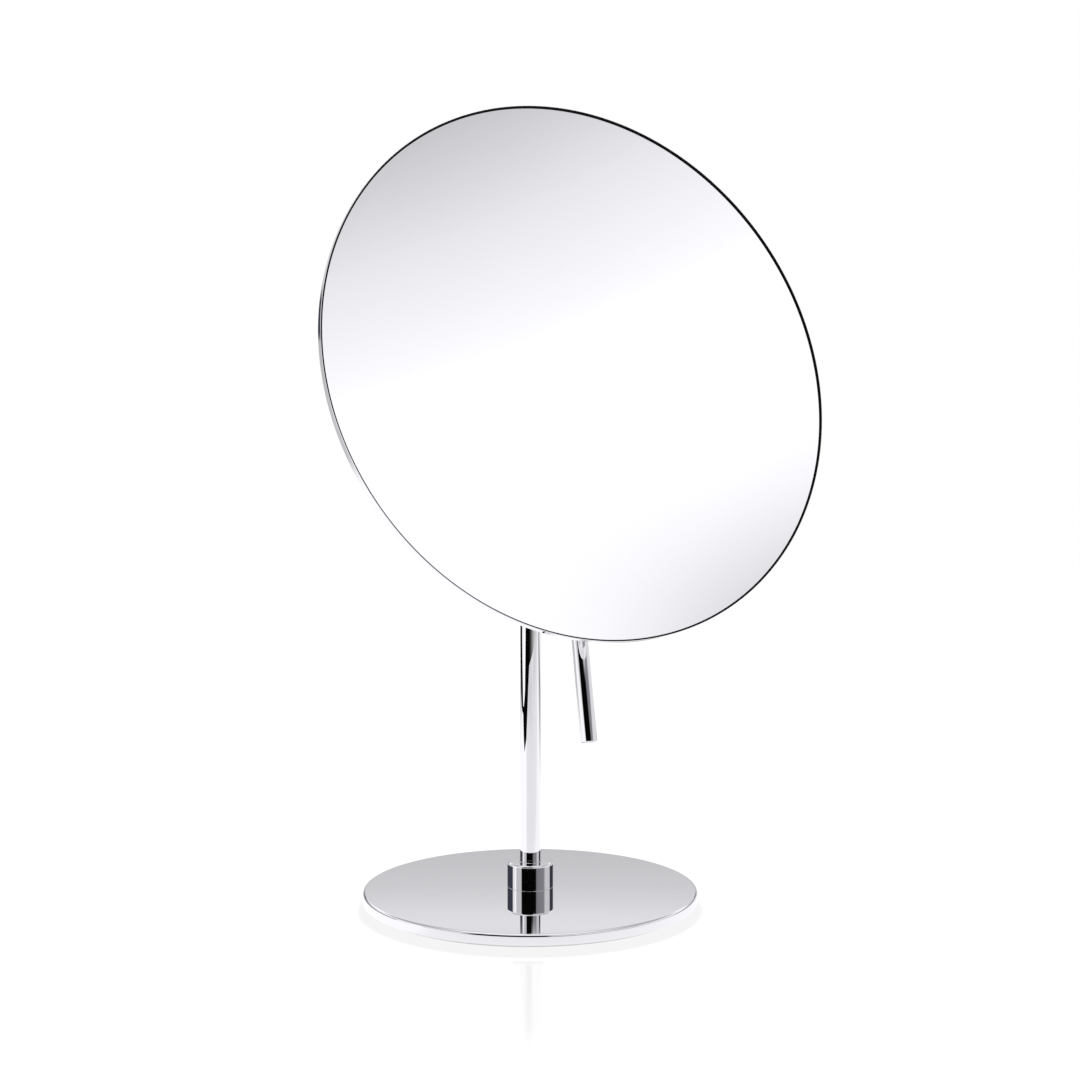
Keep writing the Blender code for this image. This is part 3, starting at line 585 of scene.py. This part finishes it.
# Noise for the slow changes of tone and for the grain: scale, detail and roughness
METAL_CLOUD = (45.0, 3.0)
METAL_GRAIN = (3.0, 0.6)
PLASTIC_CLOUD = (120.0, 2.0)
PLASTIC_GRAIN = (4.0, 0.65)
GRAIN_SHARE = 0.6                 # the grain's part in a metal's gloss; the cloud is the rest


def metal(name, dark, light, rough, grain_size, bump_height):
    """Plated, silvered or turned metal with fine changes of tone, gloss and surface."""
    material, g = new_material(name)
    place = g.node("ShaderNodeTexCoord").outputs["Object"]
    cloud = g.noise(place, *METAL_CLOUD)
    grain = g.noise(place, 1.0 / grain_size, *METAL_GRAIN)
    wear = g.math("MULTIPLY_ADD", grain, GRAIN_SHARE, g.math("MULTIPLY", cloud, 1.0 - GRAIN_SHARE))
    shader = g.node("ShaderNodeBsdfPrincipled")
    shader.inputs["Metallic"].default_value = 1.0
    g.feed(shader.inputs["Base Color"], g.mix(cloud, dark, light))
    g.feed(shader.inputs["Roughness"], g.span(wear, *rough))
    g.feed(shader.inputs["Normal"], g.bump(grain, bump_height))
    g.surface(shader.outputs["BSDF"])
    return material


def plastic(name, dark, light, rough, grain_size, bump_height, specular):
    """Paint, plastic, rubber or foam with fine changes of tone, gloss and surface."""
    material, g = new_material(name)
    place = g.node("ShaderNodeTexCoord").outputs["Object"]
    cloud = g.noise(place, *PLASTIC_CLOUD)
    grain = g.noise(place, 1.0 / grain_size, *PLASTIC_GRAIN)
    shader = g.node("ShaderNodeBsdfPrincipled")
    shader.inputs["Specular IOR Level"].default_value = specular
    g.feed(shader.inputs["Base Color"], g.mix(cloud, dark, light))
    g.feed(shader.inputs["Roughness"], g.span(grain, *rough))
    g.feed(shader.inputs["Normal"], g.bump(grain, bump_height))
    g.surface(shader.outputs["BSDF"])
    return material


def add_materials():
    """Every material by its name."""
    made = {name: metal(name, *values) for name, values in METALS.items()}
    made.update({name: plastic(name, *values) for name, values in PLASTICS.items()})
    return made


# ---------------------------------------------------------------- pieces

def arc(centre_radius, centre_z, size, start, end, steps=ARC_STEPS):
    """(radius, z) points round a centre, from a start angle to an end angle in degrees."""
    points = []
    for i in range(steps + 1):
        angle = math.radians(start + (end - start) * i / steps)
        points.append((centre_radius + size * math.cos(angle), centre_z + size * math.sin(angle)))
    return points


def rounded_side(radius, top, bottom, top_round, bottom_round=None):
    """Outer side of a turned piece, from its rounded top edge to its rounded bottom edge."""
    low = top_round if bottom_round is None else bottom_round
    side = arc(radius - top_round, top - top_round, top_round, 90.0, 0.0)
    side += arc(radius - low, bottom + low, low, 0.0, -90.0)
    return side


def lathe(name, outline, steps, matrix=None, closed=False, slots=None):
    """A solid turned about Z from (radius, z) points that run down its outer side.

    An open outline starts and ends on the axis. slots gives each segment's material.
    """
    work = bmesh.new()
    rings = []
    for radius, z in outline:
        if radius < ON_AXIS:
            rings.append([work.verts.new((0.0, 0.0, z))])
            continue
        ring = []
        for i in range(steps):
            angle = 2.0 * math.pi * i / steps
            ring.append(work.verts.new((radius * math.cos(angle), radius * math.sin(angle), z)))
        rings.append(ring)
    count = len(rings)
    for k in range(count if closed else count - 1):
        upper, lower = rings[k], rings[(k + 1) % count]
        if len(upper) == 1 and len(lower) == 1:
            continue
        for i in range(steps):
            j = (i + 1) % steps
            corners = [upper[i % len(upper)], lower[i % len(lower)]]
            if len(lower) > 1:
                corners.append(lower[j])
            if len(upper) > 1:
                corners.append(upper[j])
            face = work.faces.new(corners)
            face.material_index = slots[k] if slots else 0
    bmesh.ops.recalc_face_normals(work, faces=work.faces)
    mesh = mesh_of(name, work)
    smooth(mesh)
    if matrix is not None:
        mesh.transform(matrix)
    return add_object(name, mesh)


def finish_piece(piece, body, node, slot, *materials):
    """Give a piece its materials and its body, and hide the node it stands for. slot is not used.
    """
    for material in materials:
        piece.data.materials.append(material)
    normals = piece.modifiers.new("normals", "WEIGHTED_NORMAL")
    normals.keep_sharp = True
    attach(piece, body)
    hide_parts(node)


def cut(piece, tools, join=False):
    """Cut tools out of a piece, or join them to it, and make the result its mesh."""
    for tool in tools:
        step = piece.modifiers.new(tool.name, "BOOLEAN")
        step.operation = "UNION" if join else "DIFFERENCE"
        step.solver = "EXACT"
        step.object = tool
    graph = bpy.context.evaluated_depsgraph_get()
    mesh = bpy.data.meshes.new_from_object(piece.evaluated_get(graph))
    piece.modifiers.clear()
    old = piece.data
    piece.data = mesh
    bpy.data.meshes.remove(old)
    for tool in tools:
        bpy.data.objects.remove(tool)
    smooth(mesh)


def facing(axis, place=(0.0, 0.0, 0.0), matrix=None):
    """Matrix that puts a turned piece's +Z along an axis, at a place."""
    turn = Z_AXIS.rotation_difference(axis).to_matrix().to_4x4()
    return (matrix or Matrix.Identity(4)) @ Matrix.Translation(Vector(place)) @ turn


def rod(name, radius, length, steps, place, axis, matrix=None):
    """A plain round or hexagonal bar about its centre, along an axis."""
    half = length / 2.0
    outline = [(0.0, half), (radius, half), (radius, -half), (0.0, -half)]
    return lathe(name, outline, steps, facing(axis, place, matrix))


def slab(name, outline, half_width, edge, matrix):
    """A flat (y, z) outline thickened along X to both sides, with its long edges rounded."""
    work = bmesh.new()
    points = [work.verts.new((-half_width, y, z)) for y, z in outline]
    face = work.faces.new(points)
    made = bmesh.ops.extrude_face_region(work, geom=[face])
    moved = [item for item in made["geom"] if isinstance(item, bmesh.types.BMVert)]
    bmesh.ops.translate(work, vec=(2.0 * half_width, 0.0, 0.0), verts=moved)
    bmesh.ops.recalc_face_normals(work, faces=work.faces)
    if edge:
        rims = [item for item in work.edges
                if abs(item.verts[0].co.x - item.verts[1].co.x) < SAME_PLACE]
        bmesh.ops.bevel(work, geom=rims, offset=edge, segments=BEVEL_SEGMENTS, profile=0.5,
                        affect="EDGES")
    mesh = mesh_of(name, work)
    mesh.transform(matrix)
    return add_object(name, mesh)


def cut_socket(piece, shank, mouth, axis):
    """A hexagon socket in a screw's end."""
    socket = rod(piece.name + "_socket", shank * SOCKET_SHARE, 2.0 * shank, HEX_SIDES, mouth, axis)
    cut(piece, [socket])


def build_foot(finish):
    """The plate, with its countersunk hole, and the pad under it."""
    low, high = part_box("base_plate")
    radius = radius_of("base_plate")
    outline = [(PLATE_HOLE, high.z)]
    outline += rounded_side(radius, high.z, low.z, PLATE_TOP_ROUND, PLATE_FOOT_ROUND)
    outline += [(PLATE_SINK, low.z), (PLATE_HOLE, low.z + PLATE_SINK_DEPTH)]
    plate = lathe("foot_plate", outline, DISC_STEPS, closed=True)
    finish_piece(plate, "base", "base_plate", "chrome", finish["chrome"])

    low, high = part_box("base_pad")
    outline = [(0.0, high.z)] + rounded_side(radius_of("base_pad"), high.z, low.z, EDGE_BREAK)
    outline += [(0.0, low.z)]
    pad = lathe("foot_pad", outline, DISC_STEPS)
    finish_piece(pad, "base", "base_pad", "rubber", finish["rubber"])


def build_collar(finish):
    """The collar round the post's foot and the set screw at its back."""
    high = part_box("base_collar")[1]
    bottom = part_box("base_plate")[1].z + CONTACT
    radius = radius_of("base_collar")
    bore = radius_of("post_tube") + GAP
    outline = [(bore + EDGE_BREAK, high.z)]
    outline += rounded_side(radius, high.z, bottom, COLLAR_ROUND, FINE_BREAK)
    outline += [(bore, bottom), (bore, high.z - EDGE_BREAK)]
    collar = lathe("post_collar", outline, ROUND_STEPS, closed=True)
    low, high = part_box("collar_set_screw")
    screw_radius = (high.x - low.x) / 2.0
    middle = centre("collar_set_screw").z
    hole_end = radius + 2.0 * screw_radius
    hole = rod("set_screw_hole", screw_radius + GAP, hole_end - bore / 2.0, SMALL_STEPS,
               (0.0, (bore / 2.0 + hole_end) / 2.0, middle), Y_AXIS)
    cut(collar, [hole])
    finish_piece(collar, "base", "base_collar", "chrome", finish["chrome"])

    length = high.y - low.y
    outline = [(0.0, 0.0), (screw_radius - EDGE_BREAK, 0.0), (screw_radius, -EDGE_BREAK)]
    outline += [(screw_radius, -length), (0.0, -length)]
    grub = lathe("set_screw", outline, SMALL_STEPS, facing(Y_AXIS, (0.0, high.y, middle)))
    cut_socket(grub, screw_radius, (0.0, high.y, middle), Y_AXIS)
    finish_piece(grub, "base", "collar_set_screw", "steel", finish["steel"])


def build_post(finish):
    """The outer tube and the ferrule over its top."""
    low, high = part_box("post_tube")
    radius = radius_of("post_tube")
    bore = radius - TUBE_WALL
    outline = [(bore, high.z)] + rounded_side(radius, high.z, low.z, EDGE_BREAK)
    outline += [(bore, low.z)]
    tube = lathe("outer_post", outline, ROUND_STEPS, closed=True)
    finish_piece(tube, "base", "post_tube", "chrome", finish["chrome"])

    low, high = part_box("tube_ferrule")
    outer = radius_of("tube_ferrule")
    mouth = radius_of("inner_rod") + 2.0 * GAP
    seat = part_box("guide_bush")[1].z + GAP
    cap = high.z - seat
    sleeve = radius + GAP
    outline = [(mouth, high.z - FINE_BREAK), (mouth + FINE_BREAK, high.z)]
    outline += arc(outer - cap, high.z - cap, cap, 90.0, 0.0)
    outline += arc(outer - EDGE_BREAK, low.z + EDGE_BREAK, EDGE_BREAK, 0.0, -90.0)
    outline += [(sleeve, low.z), (sleeve, seat), (mouth, seat)]
    ferrule = lathe("post_ferrule", outline, ROUND_STEPS, closed=True)
    finish_piece(ferrule, "base", "tube_ferrule", "chrome", finish["chrome"])


def build_rod(finish):
    """The sliding rod, its shoulder ring and the conical washer under the head."""
    low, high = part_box("inner_rod")
    radius = radius_of("inner_rod")
    tapped, depth = TAPPED_RADIUS, TAPPED_DEPTH
    outline = [(0.0, high.z - depth - tapped / 2.0), (tapped, high.z - depth), (tapped, high.z)]
    outline += rounded_side(radius, high.z, low.z, EDGE_BREAK)
    outline += [(tapped, low.z), (tapped, low.z + depth), (0.0, low.z + depth + tapped / 2.0)]
    inner = lathe("sliding_rod", outline, SMALL_STEPS)
    finish_piece(inner, "slider", "inner_rod", "chrome", finish["chrome"])

    low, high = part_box("rod_shoulder_ring")
    bore = radius + GAP
    outline = [(bore, high.z)]
    outline += rounded_side(radius_of("rod_shoulder_ring"), high.z, low.z, BOLD_BREAK)
    outline += [(bore, low.z)]
    ring = lathe("shoulder_ring", outline, SMALL_STEPS, closed=True)
    finish_piece(ring, "slider", "rod_shoulder_ring", "chrome", finish["chrome"])

    low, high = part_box("swivel_spring_washer")
    outer = radius_of("swivel_spring_washer")
    outline = [(bore, high.z), (outer, low.z + SPRING_SHEET)]
    outline += [(outer, low.z), (bore, high.z - SPRING_SHEET)]
    spring = lathe("spring_washer", outline, SMALL_STEPS, closed=True)
    finish_piece(spring, "slider", "swivel_spring_washer", "steel", finish["steel"])


def build_head(finish):
    """The forked head, with its slot, cross hole and the screw's two pockets."""
    low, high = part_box("swivel_head")
    radius = radius_of("swivel_head")
    pivot = tilt_pivot()
    bore = radius_of("inner_rod") + GAP
    outline = [(HEAD_POCKET_RADIUS, high.z)]
    outline += rounded_side(radius, high.z, low.z, HEAD_ROUND)
    outline += [(bore, low.z), (bore, HEAD_BORE_TOP), (HEAD_POCKET_RADIUS, HEAD_BORE_TOP)]
    head = lathe("fork_head", outline, ROUND_STEPS, closed=True)
    reach = 2.0 * radius
    slot_outline = [(-reach, SLOT_FLOOR), (reach, SLOT_FLOOR), (reach, high.z + radius),
                    (-reach, high.z + radius)]
    slot = slab("head_slot", slot_outline, SLOT_HALF_WIDTH, 0.0, Matrix.Identity(4))
    pocket_x = radius - TILT_POCKET_DEPTH + radius / 2.0
    head_radius = (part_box("tilt_screw")[1].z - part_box("tilt_screw")[0].z) / 2.0
    nut_corner = (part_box("tilt_nut")[1].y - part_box("tilt_nut")[0].y) / 2.0
    cut(head, [
        slot,
        rod("cross_hole", TILT_SCREW_RADIUS + GAP, 4.0 * radius, SMALL_STEPS, pivot, X_AXIS),
        rod("screw_pocket", head_radius + TILT_POCKET_SPARE, radius, SMALL_STEPS,
            (pivot.x - pocket_x, 0.0, pivot.z), X_AXIS),
        rod("nut_pocket", nut_corner + TILT_POCKET_SPARE, radius, HEX_SIDES,
            (pivot.x + pocket_x, 0.0, pivot.z), X_AXIS),
    ])
    # The slot's walls and floor have no plating
    for face in head.data.polygons:
        inside = abs(face.center.x) < SLOT_HALF_WIDTH + GAP and face.center.z > SLOT_FLOOR - GAP
        face.material_index = 1 if inside else 0
    finish_piece(head, "head", "swivel_head", "chrome", finish["chrome"], finish["steel"])


def build_tilt_hardware(finish):
    """Socket screw, nut and the two friction washers beside the arm's eye."""
    low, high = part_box("tilt_screw")
    pivot = tilt_pivot()
    left = -X_AXIS
    radius = (high.z - low.z) / 2.0
    seat = low.x + TILT_HEAD_HEIGHT
    tip = high.x - seat
    shank = TILT_SCREW_RADIUS
    outline = [(0.0, TILT_HEAD_HEIGHT)]
    outline += arc(radius - TILT_HEAD_ROUND, TILT_HEAD_HEIGHT - TILT_HEAD_ROUND, TILT_HEAD_ROUND,
                   90.0, 0.0)
    outline += [(radius, 0.0), (shank, 0.0), (shank, EDGE_BREAK - tip), (shank - EDGE_BREAK, -tip)]
    outline += [(0.0, -tip)]
    screw = lathe("tilt_socket_screw", outline, SMALL_STEPS, facing(left, (seat, 0.0, pivot.z)))
    cut_socket(screw, shank, (low.x, 0.0, pivot.z), left)
    finish_piece(screw, "head", "tilt_screw", "steel", finish["steel"])

    low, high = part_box("tilt_nut")
    corner = (high.y - low.y) / 2.0
    nut = rod("hex_nut", corner, high.x - low.x, HEX_SIDES, centre("tilt_nut"), left)
    bore = rod("nut_bore", shank + GAP, radius * 3.0, SMALL_STEPS, centre("tilt_nut"), left)
    cut(nut, [bore])
    finish_piece(nut, "head", "tilt_nut", "steel", finish["steel"])

    for side in ("left", "right"):
        node = "tilt_washer_" + side
        low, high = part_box(node)
        outer = (high.z - low.z) / 2.0
        half = (high.x - low.x) / 2.0
        outline = [(shank + GAP, half), (outer, half), (outer, -half), (shank + GAP, -half)]
        washer = lathe("friction_washer_" + side, outline, SMALL_STEPS,
                       facing(left, centre(node)), closed=True)
        finish_piece(washer, "head", node, "nylon", finish["nylon"])


def sag(radius):
    """How far the glass's curve has risen at a radius from its middle."""
    return GLASS_CURVE_RADIUS - math.sqrt(GLASS_CURVE_RADIUS ** 2 - radius ** 2)


def dish(centre_z, start, end, rings=DISH_RINGS):
    """(radius, z) points along the glass's curve."""
    points = []
    for i in range(rings + 1):
        radius = start + (end - start) * i / rings
        points.append((radius, centre_z + sag(radius)))
    return points


def build_glass(finish, place):
    """The hollow glass with its ground edge."""
    low, high = own_box("mirror_glass", place)
    radius = high.x
    back = low.z
    front = back + GLASS_THICKNESS
    outline = dish(front, 0.0, radius - FINE_BREAK)
    facets = [0] * DISH_RINGS
    outline += [
        (radius, front + sag(radius) - FINE_BREAK),
        (radius, back + sag(radius) + GLASS_BACK_CUT),
    ]
    facets += [1, 1]
    rear = list(reversed(dish(back, 0.0, radius - GLASS_BACK_CUT, DISH_RINGS // 2)))
    outline += rear
    facets += [1] + [0] * (len(rear) - 1)
    glass = lathe("hollow_glass", outline, DISC_STEPS, place, slots=facets)
    finish_piece(glass, "mirror", "mirror_glass", "mirror", finish["silver"], finish["ground_edge"])


def build_tray(finish, place):
    """The spun tray that holds the glass: dished back, rounded shoulder and thin rim."""
    low, high = own_box("back_shell", place)
    radius = high.x
    face = high.z
    back = low.z
    floor = back + RIM_WALL
    lip = RIM_WALL / 2.0
    slope_start = radius - RIM_SLOPE_WIDTH
    wall_inside = radius - RIM_WALL
    outline = [(0.0, floor), (TRAY_FLAT_RADIUS, floor)]
    outline += dish(floor, TRAY_DISH_START, slope_start - lip)
    facets = [0] * len(outline)
    outline += [(wall_inside, face - RIM_DEPTH + RIM_FOOT_RISE)]
    outline += arc(radius - lip, face - lip, lip, 180.0, LACQUER_END, LACQUER_STEPS)
    facets += [1] * (1 + LACQUER_STEPS)
    outline += arc(radius - lip, face - lip, lip, LACQUER_END, 0.0)[1:]
    outline += [(radius, face - RIM_DEPTH)]
    outline += reversed(dish(back, TRAY_DISH_START, slope_start))
    outline += [(TRAY_FLAT_RADIUS, back), (0.0, back)]
    facets += [0] * (len(outline) - len(facets))
    tray = lathe("mirror_tray", outline, DISC_STEPS, place, slots=facets)
    finish_piece(tray, "mirror", "back_shell", "chrome", finish["chrome"], finish["lacquer"])


def build_mounting(finish, place):
    """Flange behind the tray, with its boss."""
    low, high = own_box("mirror_flange", place)
    front = high.z
    rear = front - FLANGE_THICKNESS
    boss_rear = low.z
    socket = SPIGOT_RADIUS + GAP
    socket_front = boss_rear + SPIGOT_LENGTH + 3.0 * GAP
    outline = [(0.0, front)] + rounded_side(high.x, front, rear, FLANGE_ROUND)
    outline += reversed(arc(BOSS_RADIUS + FLANGE_FILLET, rear - FLANGE_FILLET, FLANGE_FILLET,
                            180.0, 90.0))
    outline += arc(BOSS_RADIUS - BOLD_BREAK, boss_rear + BOLD_BREAK, BOLD_BREAK, 0.0, -90.0)
    outline += [(socket, boss_rear), (socket, socket_front), (0.0, socket_front)]
    flange = lathe("rear_flange", outline, ROUND_STEPS, place)
    finish_piece(flange, "mirror", "mirror_flange", "chrome", finish["chrome"])


def build_arm(finish, place):
    """Round stem with a flat eye at the tilt axis and a flat seat for the handle."""
    spigot_end = own_box("tilt_arm", place)[1].z
    half_width = own_box("tilt_washer_right", place)[0].x - GAP
    stem_end = spigot_end - SPIGOT_LENGTH
    outline = [(0.0, spigot_end), (SPIGOT_RADIUS - EDGE_BREAK, spigot_end)]
    outline += [(SPIGOT_RADIUS, spigot_end - EDGE_BREAK), (SPIGOT_RADIUS, stem_end)]
    outline += rounded_side(STEM_RADIUS, stem_end, STEM_START, EDGE_BREAK, STEM_ROUND)
    outline += [(0.0, STEM_START)]
    arm = lathe("tilt_lever", outline, ROUND_STEPS, place)
    lift = math.degrees(math.asin(TONGUE_HALF_HEIGHT / EYE_RADIUS))
    end = STEM_START + 2.0 * STEM_ROUND
    eye = [(end, TONGUE_HALF_HEIGHT), (end, -TONGUE_HALF_HEIGHT)]
    eye += arc(0.0, 0.0, EYE_RADIUS, -lift, lift - FULL_TURN, ROUND_STEPS // 2)
    tongue = slab("arm_tongue", [(y, z) for z, y in eye], half_width, TONGUE_EDGE, place)
    cut(arm, [tongue], join=True)
    handle_low, handle_high = own_box("handle_rod", place)
    seat_y = handle_high.y + GAP
    seat_z = (handle_low.z + handle_high.z) / 2.0
    cut(arm, [
        rod("eye_hole", TILT_SCREW_RADIUS + GAP, 4.0 * EYE_RADIUS, SMALL_STEPS,
            (0.0, 0.0, 0.0), X_AXIS, place),
        rod("handle_seat", handle_high.x + 2.0 * GAP, STEM_RADIUS, SMALL_STEPS,
            (0.0, seat_y - STEM_RADIUS / 2.0, seat_z), Y_AXIS, place),
    ])
    finish_piece(arm, "mirror", "tilt_arm", "chrome", finish["chrome"])


def build_handle(finish, place):
    """The rod that hangs below the arm and turns the mirror."""
    low, high = own_box("handle_rod", place)
    radius = high.x
    offset = (low.z + high.z) / 2.0
    outline = [(0.0, high.y)] + rounded_side(radius, high.y, low.y, EDGE_BREAK, BOLD_BREAK)
    outline += [(0.0, low.y)]
    handle = lathe("handle", outline, SMALL_STEPS, facing(Y_AXIS, (0.0, 0.0, offset), place))
    finish_piece(handle, "mirror", "handle_rod", "chrome", finish["chrome"])


# Pieces that keep their CAD shape, by material
KEPT = {
    "steel": [
        "base_screw", "post_plug", "rod_end_screw", "swivel_washer", "swivel_screw",
        "handle_stud", "stiffener_plate", "flange_screw_1", "flange_screw_2", "flange_screw_3",
    ],
    "brass": ["rod_stop_ring"],
    "nylon": ["guide_bush", "rod_friction_ring"],
    "foam": ["foam_ring"],
}


def dress_kept_nodes(finish):
    """Give the kept pieces their materials."""
    for name, nodes in KEPT.items():
        for node in nodes:
            piece = frame["nodes"][node]
            if not piece.data.materials:
                piece.data.materials.append(None)
            for slot in piece.material_slots:
                slot.material = finish[name]


add_camera()
add_world()
add_floor()
add_near_card()
bpy.context.scene.view_settings.view_transform = "Standard"
materials = add_materials()
mirror_place = mirror_frame()
build_foot(materials)
build_collar(materials)
build_post(materials)
build_rod(materials)
build_head(materials)
build_tilt_hardware(materials)
build_glass(materials, mirror_place)
build_tray(materials, mirror_place)
build_mounting(materials, mirror_place)
build_arm(materials, mirror_place)
build_handle(materials, mirror_place)
dress_kept_nodes(materials)
